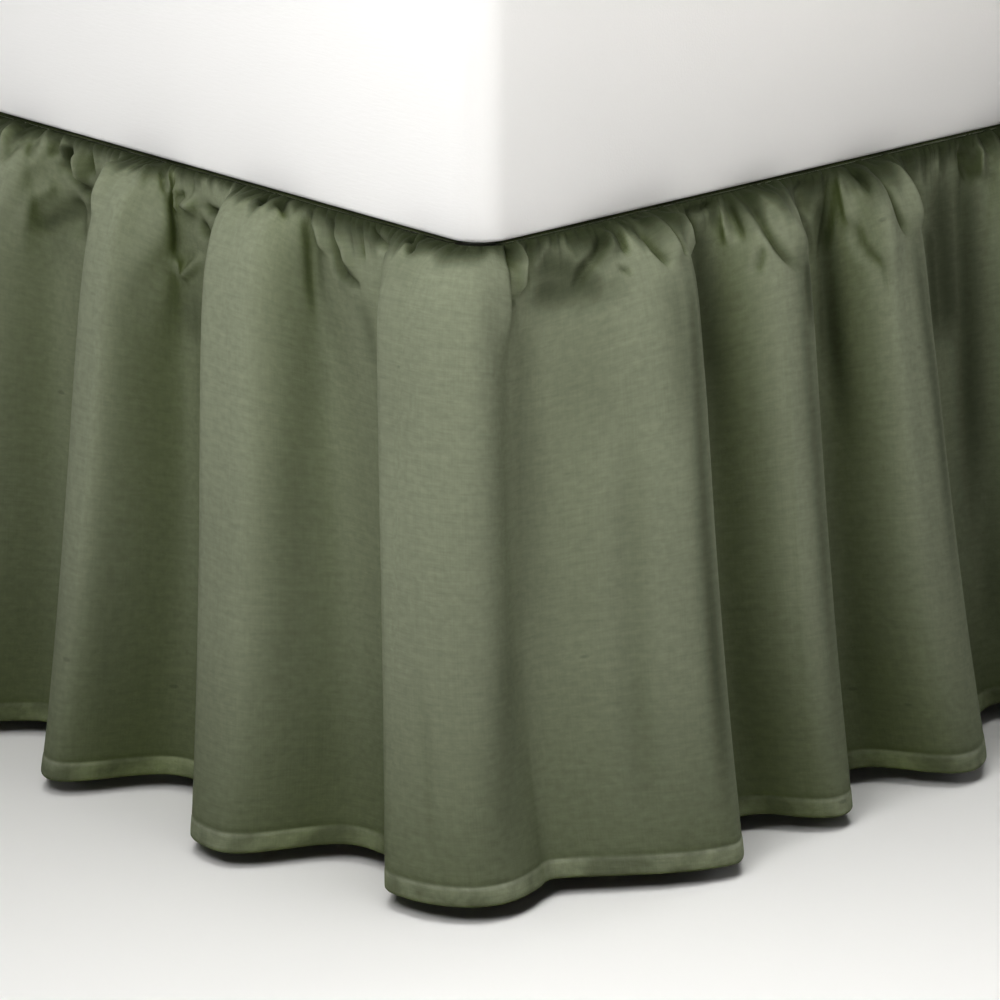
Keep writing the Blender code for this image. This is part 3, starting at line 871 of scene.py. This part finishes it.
def cloth_rows(hem_depth):
    """(distance from the seam, lift off the cloth) of each row, down to the hem and back up in it."""
    near = np.arange(0, CLOSE_DOWN_TO, CLOSE_ROW)
    hem_top = STRIP_LENGTH - hem_depth
    far = np.linspace(near[-1] + 0.004, hem_top - 0.005, EVEN_ROWS)
    hem = [
        (hem_top - 0.0014, 0.0),
        (hem_top, -STITCH_GROOVE),
        (hem_top + 0.0010, 0.0002),
        (hem_top + 0.0030, 0.0003),
        (STRIP_LENGTH - 0.006, 0.0003),
        (STRIP_LENGTH - 0.0024, 0.0003),
        (STRIP_LENGTH - 0.0008, 0.0002),
        (STRIP_LENGTH, -HEM_FOLD / 2),
        (STRIP_LENGTH - 0.0008, -HEM_FOLD),
        (hem_top, -HEM_FOLD),
    ]
    table = [(along, 0.0) for along in (*near, *far)] + hem
    return np.array(table).T


def cloth_columns(start, end, fine, coarse):
    """Places of the columns along the rim, set closer about the foot's right corner."""
    first, last = (np.clip(RIGHT_CORNER + place, start, end) for place in FINE_COLUMNS_FROM_CORNER)
    stretches = ((start, first, coarse), (first, last, fine), (last, end, coarse))
    places = [
        np.linspace(a, b, max(2, round((b - a) / spacing) + 1))
        for a, b, spacing in stretches
        if b - a > coarse
    ]
    return np.clip(np.unique(np.round(np.concatenate(places), 7)), start, end)


def add_mesh(name, points, faces, uv=None, painted_shade=None, weld=False):
    """A smooth-shaded object over these points and faces, with the cloth's coordinates as its UV map."""
    mesh = bpy.data.meshes.new(name)
    mesh.from_pydata(points.reshape(-1, 3).tolist(), [], faces.reshape(-1, faces.shape[-1]).tolist())
    if uv is not None:
        layer = mesh.uv_layers.new(name="cloth")
        layer.data.foreach_set("uv", uv.reshape(-1, 2)[faces.reshape(-1)].astype(np.float32).ravel())
    if painted_shade is not None:
        shades = mesh.attributes.new("painted_shade", "FLOAT", "POINT")
        shades.data.foreach_set("value", painted_shade.astype(np.float32).ravel())
    if weld:
        shape = bmesh.new()
        shape.from_mesh(mesh)
        bmesh.ops.remove_doubles(shape, verts=shape.verts, dist=1e-6)
        bmesh.ops.recalc_face_normals(shape, faces=shape.faces)
        shape.to_mesh(mesh)
        shape.free()
    mesh.shade_smooth()
    made = bpy.data.objects.new(name, mesh)
    bpy.context.scene.collection.objects.link(made)
    return made


def crossed_waves(x, y, z, waves):
    """Two crossing waves multiplied, each of so many radians a metre along x, y and z, and a shift."""
    first, second = (np.sin(x * a + y * b + z * c + shift) for a, b, c, shift in waves)
    return first * second


def grid_faces(columns, rows, closed=False):
    """Quads over a grid of points numbered column by column."""
    index = np.arange(columns * rows).reshape(columns, rows)
    if closed:
        index = np.concatenate([index, index[:1]])
    return np.stack([index[:-1, :-1], index[:-1, 1:], index[1:, 1:], index[1:, :-1]], axis=-1)


def dress(piece, material, node):
    """Gives a piece its finish and puts it in place of its solid."""
    piece.data.materials.append(material)
    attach(piece, BODY)
    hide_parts(node)


def puckers_and_shade(columns, rows, base, turned):
    """Height of each point over the smooth folds, and its painted shade. Creases end where it turns up."""
    height = sum(gather_heights(columns, rows, run) for run in SEAM_GATHERS)
    painted_shade = np.maximum(teeth_of_shade(columns, base), TROUGH_SHADE * smooth_step(-height / FULLY_SHADED_DEPTH))
    face = slice(0, turned + 1)
    heights, shades = crease_reliefs(columns, rows[face], base[:, face])
    height[:, face] += heights
    painted_shade[:, face] = np.maximum(painted_shade[:, face], shades)
    painted_shade += LOW_SHADE * smooth_step((rows / STRIP_LENGTH - LOW_SHADE_FROM) / (1 - LOW_SHADE_FROM))
    return height + gather_heights(columns, rows, LONG_GATHERS), painted_shade


def add_ruffle(name, knots, settings, material):
    """A strip of ruffle on its folds, puckered from the seam down and turned up at the hem."""
    start, end = knots[0].seam, knots[-1].seam
    columns = cloth_columns(start, end, settings.fine_columns, settings.coarse_columns)
    rows, lift = cloth_rows(settings.hem_depth)
    base = smooth_cloth(knots, columns, rows)
    turned = np.argmax(rows)
    normal = normals_of(base[:, : turned + 1])
    # The turned-up rows face as the cloth before them does
    normal = np.concatenate([normal, normal[:, turned - 1 : turned - 3 : -1]], axis=1)
    height, painted_shade = puckers_and_shade(columns, rows, base, turned)
    points = base + normal * (settings.pucker_depth * height + hem_ripple(columns, rows) + lift)[..., None]
    hem = points[:, turned]
    run = np.concatenate([[0], np.cumsum(np.linalg.norm(np.diff(hem, axis=0), axis=1))])
    uv = np.stack(np.broadcast_arrays(run[:, None], -rows[None, :]), axis=-1)
    ruffle = add_mesh("gathered_" + name, points, grid_faces(*points.shape[:2]), uv, painted_shade)
    dress(ruffle, material, name)
    return ruffle


# The deck cloth, pressed flat between the base and the mattress
DECK_CELL = 0.020
DECK_RIPPLE = 0.0003
DECK_WAVES = ((31, 7, 0, 0), (-5, 23, 0, 0))
DECK_RIM_SHADE = 0.7


def add_deck(material):
    """The deck cloth, cut to the rim and rippled a little."""
    lengthways = np.arange(RIM_FOOT, RIM_HEAD, DECK_CELL)
    lengthways = np.append(lengthways, RIM_HEAD)
    in_corner = np.clip(1 - (lengthways - RIM_FOOT) / CORNER_RADIUS, 0, 1)
    half = RIM_X - CORNER_RADIUS * (1 - np.sqrt(1 - in_corner**2))
    across = np.linspace(-1, 1, round(2 * RIM_X / DECK_CELL) + 1)
    x = across[:, None] * half
    y = np.broadcast_to(lengthways, x.shape)
    height = SEAM_HEIGHT + DECK_RIPPLE * crossed_waves(x, y, 0, DECK_WAVES)
    points = np.stack([x, y, height], axis=-1)
    uv = np.stack([x, y - RIM_HEAD], axis=-1)
    # Only the rim shows, deep in the seam between the mattress and the ruffle, and it gets painted shade
    rim = np.zeros(x.shape)
    rim[[0, -1]] = rim[:, 0] = DECK_RIM_SHADE
    deck = add_mesh("skirt_deck_cloth", points, grid_faces(*x.shape), uv, rim)
    dress(deck, material, "skirt_deck")
    return deck


# A padded block's outline is walked in this many steps, and its side is a section of rings
EDGE_STEPS = 36
CORNER_STEPS = 10
SIDE_STEPS = 14
ROUNDING_STEPS = 8
TOP_STEPS = 16
# The rings that close it above and below stop this far from its middle line, and keep at least this
# radius at their corners
MIDDLE_GAP = 1e-4
SMALLEST_RADIUS = 0.0005
# Radii of a block's upright corners and of its lower and upper edges. The crown is the top's rise
# over its edges, the swell the side's way out at half its height, and the hollow its unevenness.
Padding = namedtuple("Padding", "corner lower upper crown swell hollow")
MATTRESS_PADDING = Padding(0.022, 0.003, 0.030, crown=0.006, swell=0.0015, hollow=0.0008)
BASE_PADDING = Padding(0.022, 0.008, 0.008, crown=0.0, swell=0.0, hollow=0.0004)
PADDING_WAVES = ((9, 4, 11, 0), (-3, 7, 0, 1))


def rounded_outline(half_width, half_length, radius):
    """Plan points round a rounded rectangle, the same number whatever its size."""
    points = []
    for turn, (x, y) in enumerate(((1, -1), (1, 1), (-1, 1), (-1, -1))):
        centre = np.array([x * (half_width - radius), y * (half_length - radius)])
        angles = math.pi / 2 * (turn - 1 + np.linspace(0, 1, CORNER_STEPS))
        arc = centre + radius * np.stack([np.cos(angles), np.sin(angles)], axis=1)
        points.append(arc)
    corners = np.array(points)
    outline = []
    for arc, following in zip(corners, np.roll(corners, -1, axis=0)):
        share = np.linspace(0, 1, EDGE_STEPS + 1)[1:-1, None]
        outline += [arc, arc[-1] * (1 - share) + following[0] * share]
    return np.concatenate(outline)


def padded_section(height, padding, half_width):
    """(inset from the outline, height above the underside) of each ring from below to the crown."""
    middle = half_width - MIDDLE_GAP
    below = [(inset, 0.0) for inset in np.linspace(middle, padding.lower, TOP_STEPS)[:-1]]
    angles = np.linspace(0, math.pi / 2, ROUNDING_STEPS)
    lower = [(padding.lower * (1 - math.sin(a)), padding.lower * (1 - math.cos(a))) for a in angles]
    top = height - padding.crown
    upper = [(padding.upper * (1 - math.cos(a)), top - padding.upper * (1 - math.sin(a))) for a in angles]
    side = [
        (-padding.swell * math.sin(math.pi * share), mix(padding.lower, top - padding.upper, share))
        for share in np.linspace(0, 1, SIDE_STEPS)[1:-1]
    ]
    quarter = math.pi / 2 / (half_width - padding.upper)
    crown = [
        (inset, top + padding.crown * math.sin(quarter * (inset - padding.upper)))
        for inset in np.linspace(padding.upper, middle, TOP_STEPS)[1:]
    ]
    return below + lower + side + upper + crown


def add_padded(name, node, padding, material):
    """A padded block in the place of a node's box, its faces a little uneven as its filling is."""
    low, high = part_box(node)
    half_width, half_length = (high.x - low.x) / 2, (high.y - low.y) / 2
    rings = []
    for inset, up in padded_section(high.z - low.z, padding, half_width):
        radius = max(padding.corner - max(inset, 0), SMALLEST_RADIUS)
        plan = rounded_outline(half_width - inset, half_length - inset, min(radius, half_width - inset))
        x, y = plan[:, 0], plan[:, 1]
        hollow = np.abs(padding.hollow * crossed_waves(x, y, up, PADDING_WAVES))
        shrink = 1 - hollow / half_width
        rings.append(np.stack([x * shrink, y * shrink, low.z + up - hollow / 2], axis=1))
    points = np.stack(rings, axis=1) + np.array([(low.x + high.x) / 2, (low.y + high.y) / 2, 0])
    points[..., 2] = np.maximum(points[..., 2], low.z)
    block = add_mesh(name, points, grid_faces(*points.shape[:2], closed=True), weld=True)
    dress(block, material, node)
    return block


# ---------------------------------------------------------------- stage

# The camera stands off the foot's right corner, tilted down a little. Angles are in degrees, the
# lens and its sensor in millimetres.
CAMERA_AZIMUTH = 47.5
CAMERA_TILT = 18.25
FOCAL_LENGTH = 154.8
SENSOR_WIDTH = 36.0
CORNER_DISTANCE = 2.389
# How far the mattress's lower corner lies off the middle of the view, to the left and above
CORNER_LEFT = 0.01278
CORNER_ABOVE = 0.13889
FLOOR_HALF = 8.0

# A softbox stands round the foot's right corner, or a place beside it, at this azimuth from the
# foot's side and this height, and points at its aim, a height there. A grid narrows its light to
# its spread, in degrees.
WARM_WHITE = "#fffaf2"
Softbox = namedtuple(
    "Softbox",
    "name azimuth distance height aim size spread watts colour beside",
    defaults=("#ffffff", (0.0, 0.0)),
)
SOFTBOXES = (
    #        name, azimuth, distance, height, aim, size, spread, watts
    # The key lights the skirt from the left, and four narrow boxes light the mattress's sides
    Softbox("key", 19, 1.1, 1.50, 0.40, 0.7, 110, 5.08),
    Softbox("low_key", 50, 2.2, 0.75, 0.66, 0.6, 22, 0.58),
    Softbox("left_fill", -60, 2.2, 0.75, 0.66, 0.6, 22, 0.86),
    Softbox("right_fill", 90, 2.2, 0.75, 0.66, 0.6, 22, 0.20, WARM_WHITE),
    Softbox("mattress_fill", 90, 2.2, 1.30, 0.76, 0.5, 14, 0.40, WARM_WHITE, beside=(0.0, 0.42)),
    # Three look almost straight down on the floor before the skirt
    Softbox("floor_left", -10, 0.5, 2.00, -8.0, 0.7, 40, 0.78),
    Softbox("floor_middle", 47.5, 0.9, 2.00, -8.0, 0.7, 40, 1.34),
    Softbox("floor_right", 105, 0.5, 2.00, -8.0, 0.7, 40, 1.0),
    # One large box hangs high over the bed, and two fill the rest of the foot and of the right side
    Softbox("overhead", -151, 1.0, 3.8, 0.0, 3.0, 170, 22),
    Softbox("foot_fill", -15, 2.4, 1.30, 0.35, 0.8, 20, 0.9, beside=(-0.95, 0.0)),
    Softbox("right_side_fill", 100, 2.4, 1.30, 0.35, 0.8, 36, 2.2, beside=(0.0, 1.55)),
    # Two large ones stand far behind, to the left and beyond the head
    Softbox("far_left_fill", -125, 3.4, 1.40, 0.30, 1.6, 140, 20),
    Softbox("head_fill", 178, 4.6, 1.40, 0.30, 1.6, 140, 30),
)
AMBIENT = "#ffffff"
AMBIENT_STRENGTH = 0.035


def aimed(direction, up):
    """A rotation whose -Z looks in a direction, with its +Y towards up."""
    direction = direction.normalized()
    right = direction.cross(up).normalized()
    return Matrix((right, right.cross(direction), -direction)).transposed().to_4x4()


def add_camera():
    """The camera, looking at the foot's right corner."""
    azimuth, tilt = math.radians(CAMERA_AZIMUTH), math.radians(CAMERA_TILT)
    level = Vector((-math.sin(azimuth), math.cos(azimuth), 0))
    forward = level * math.cos(tilt) - Vector((0, 0, math.sin(tilt)))
    right = Vector((math.cos(azimuth), math.sin(azimuth), 0))
    up = right.cross(forward)
    corner = Vector((RIM_X, RIM_FOOT, SEAM_HEIGHT))
    data = bpy.data.cameras.new("camera")
    data.lens = FOCAL_LENGTH
    data.sensor_width = SENSOR_WIDTH
    data.clip_start = 0.01
    camera = bpy.data.objects.new("camera", data)
    bpy.context.scene.collection.objects.link(camera)
    matrix = aimed(forward, up)
    matrix.translation = corner - CORNER_DISTANCE * forward + CORNER_LEFT * right - CORNER_ABOVE * up
    camera.matrix_world = matrix
    bpy.context.scene.camera = camera


def add_softbox(box, power):
    """An area light in its place, turned to its aim."""
    data = bpy.data.lights.new(box.name, "AREA")
    data.shape = "SQUARE"
    data.size = box.size
    data.spread = math.radians(box.spread)
    data.energy = box.watts * power
    data.color = linear(box.colour)
    light = bpy.data.objects.new(box.name, data)
    bpy.context.scene.collection.objects.link(light)
    azimuth = math.radians(box.azimuth)
    corner = Vector((RIM_X + box.beside[0], RIM_FOOT + box.beside[1], 0))
    away = Vector((math.sin(azimuth), -math.cos(azimuth), 0)) * box.distance
    place = corner + away + Vector((0, 0, box.height))
    matrix = aimed(corner + Vector((0, 0, box.aim)) - place, Vector((0, 0, 1)))
    matrix.translation = place
    light.matrix_world = matrix


def add_world():
    world = bpy.data.worlds.new("soft_room")
    world.use_nodes = True
    background = world.node_tree.nodes["Background"]
    background.inputs["Color"].default_value = (*linear(AMBIENT), 1)
    background.inputs["Strength"].default_value = AMBIENT_STRENGTH
    bpy.context.scene.world = world


def add_floor(colour):
    corners = FLOOR_HALF * np.array([(-1, -1, 0), (1, -1, 0), (1, 1, 0), (-1, 1, 0)])
    floor = add_mesh("floor", corners, np.array([[0, 1, 2, 3]]))
    floor.data.materials.append(floor_material(colour))


# ---------------------------------------------------------------- settings, operators and panel


def colour_setting(name, hex_colour, description):
    return FloatVectorProperty(
        name=name, description=description, subtype="COLOR", size=3, min=0, max=1, default=linear(hex_colour)
    )


def length_setting(name, default, low, high, description):
    return FloatProperty(
        name=name, description=description, default=default, min=low, max=high, unit="LENGTH", precision=4
    )


class BedSkirtSettings(bpy.types.PropertyGroup):
    cloth_colour: colour_setting("Skirt", "#80866f", "Colour of the skirt's cloth")
    mattress_colour: colour_setting("Mattress", "#f2f1ef", "Colour of the mattress cover")
    ticking_colour: colour_setting("Base", "#cbc7be", "Colour of the base's ticking")
    wood_colour: colour_setting("Legs", "#9e7852", "Colour of the beech legs")
    floor_colour: colour_setting("Floor", "#f4f3f0", "Colour of the floor")
    hem_depth: length_setting("Hem depth", 0.012, 0.006, 0.040, "Depth of the turned hem")
    fine_columns: length_setting("Fine columns", 0.0012, 0.0008, 0.01, "Column width at the right corner")
    coarse_columns: length_setting("Other columns", 0.0026, 0.001, 0.02, "Column width elsewhere")
    pucker_depth: FloatProperty(
        name="Pucker depth", description="Depth of puckers and creases", default=1.35, min=0, max=2
    )
    light_power: FloatProperty(name="Light", description="Power of all lights", default=1.0, min=0, max=10)


class BEDSKIRT_OT_ruffles(bpy.types.Operator):
    """Hang the three gathered strips of the ruffle"""

    bl_idname = "bedskirt.ruffles"
    bl_label = "Ruffle"

    def execute(self, context):
        settings = context.scene.bed_skirt
        cloth = cloth_material(settings.cloth_colour, settings.hem_depth)
        for name, knots in strips_of(fold_knots()).items():
            add_ruffle(name, knots, settings, cloth)
        return {"FINISHED"}


class BEDSKIRT_OT_deck(bpy.types.Operator):
    """Lay the deck cloth between the base and the mattress"""

    bl_idname = "bedskirt.deck"
    bl_label = "Deck cloth"

    def execute(self, context):
        settings = context.scene.bed_skirt
        add_deck(cloth_material(settings.cloth_colour, settings.hem_depth))
        return {"FINISHED"}


class BEDSKIRT_OT_mattress(bpy.types.Operator):
    """Put the mattress in its white cover on the deck"""

    bl_idname = "bedskirt.mattress"
    bl_label = "Mattress"

    def execute(self, context):
        cover = percale_material(context.scene.bed_skirt.mattress_colour)
        add_padded("covered_mattress", "mattress", MATTRESS_PADDING, cover)
        return {"FINISHED"}


class BEDSKIRT_OT_base(bpy.types.Operator):
    """Build the upholstered base and finish its legs"""

    bl_idname = "bedskirt.base"
    bl_label = "Base and legs"

    def execute(self, context):
        settings = context.scene.bed_skirt
        ticking = ticking_material(settings.ticking_colour)
        add_padded("upholstered_base", "bed_base", BASE_PADDING, ticking)
        wood = beech_material(settings.wood_colour)
        for name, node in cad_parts.items():
            if name.startswith("leg_"):
                node.data.materials.clear()
                node.data.materials.append(wood)
        return {"FINISHED"}


class BEDSKIRT_OT_stage(bpy.types.Operator):
    """Set the floor, the softboxes and the camera"""

    bl_idname = "bedskirt.stage"
    bl_label = "Stage"

    def execute(self, context):
        settings = context.scene.bed_skirt
        context.scene.view_settings.view_transform = "Standard"
        add_floor(settings.floor_colour)
        for box in SOFTBOXES:
            add_softbox(box, settings.light_power)
        add_world()
        add_camera()
        return {"FINISHED"}


OPERATORS = (
    BEDSKIRT_OT_ruffles,
    BEDSKIRT_OT_base,
    BEDSKIRT_OT_deck,
    BEDSKIRT_OT_mattress,
    BEDSKIRT_OT_stage,
)


class BEDSKIRT_PT_panel(bpy.types.Panel):
    bl_idname = "BEDSKIRT_PT_panel"
    bl_label = "Bed skirt"
    bl_space_type = "VIEW_3D"
    bl_region_type = "UI"
    bl_category = "Bed skirt"

    def draw(self, context):
        settings = context.scene.bed_skirt
        for name in BedSkirtSettings.__annotations__:
            self.layout.prop(settings, name)
        for operator in OPERATORS:
            self.layout.operator(operator.bl_idname)


CLASSES = (BedSkirtSettings, *OPERATORS, BEDSKIRT_PT_panel)


def register():
    for made in CLASSES:
        bpy.utils.register_class(made)
    bpy.types.Scene.bed_skirt = PointerProperty(type=BedSkirtSettings)


def unregister():
    del bpy.types.Scene.bed_skirt
    for made in reversed(CLASSES):
        bpy.utils.unregister_class(made)


def main():
    register()
    bpy.ops.bedskirt.ruffles()
    bpy.ops.bedskirt.base()
    bpy.ops.bedskirt.deck()
    bpy.ops.bedskirt.mattress()
    bpy.ops.bedskirt.stage()
    bpy.context.view_layer.update()


if __name__ == "__main__":
    main()
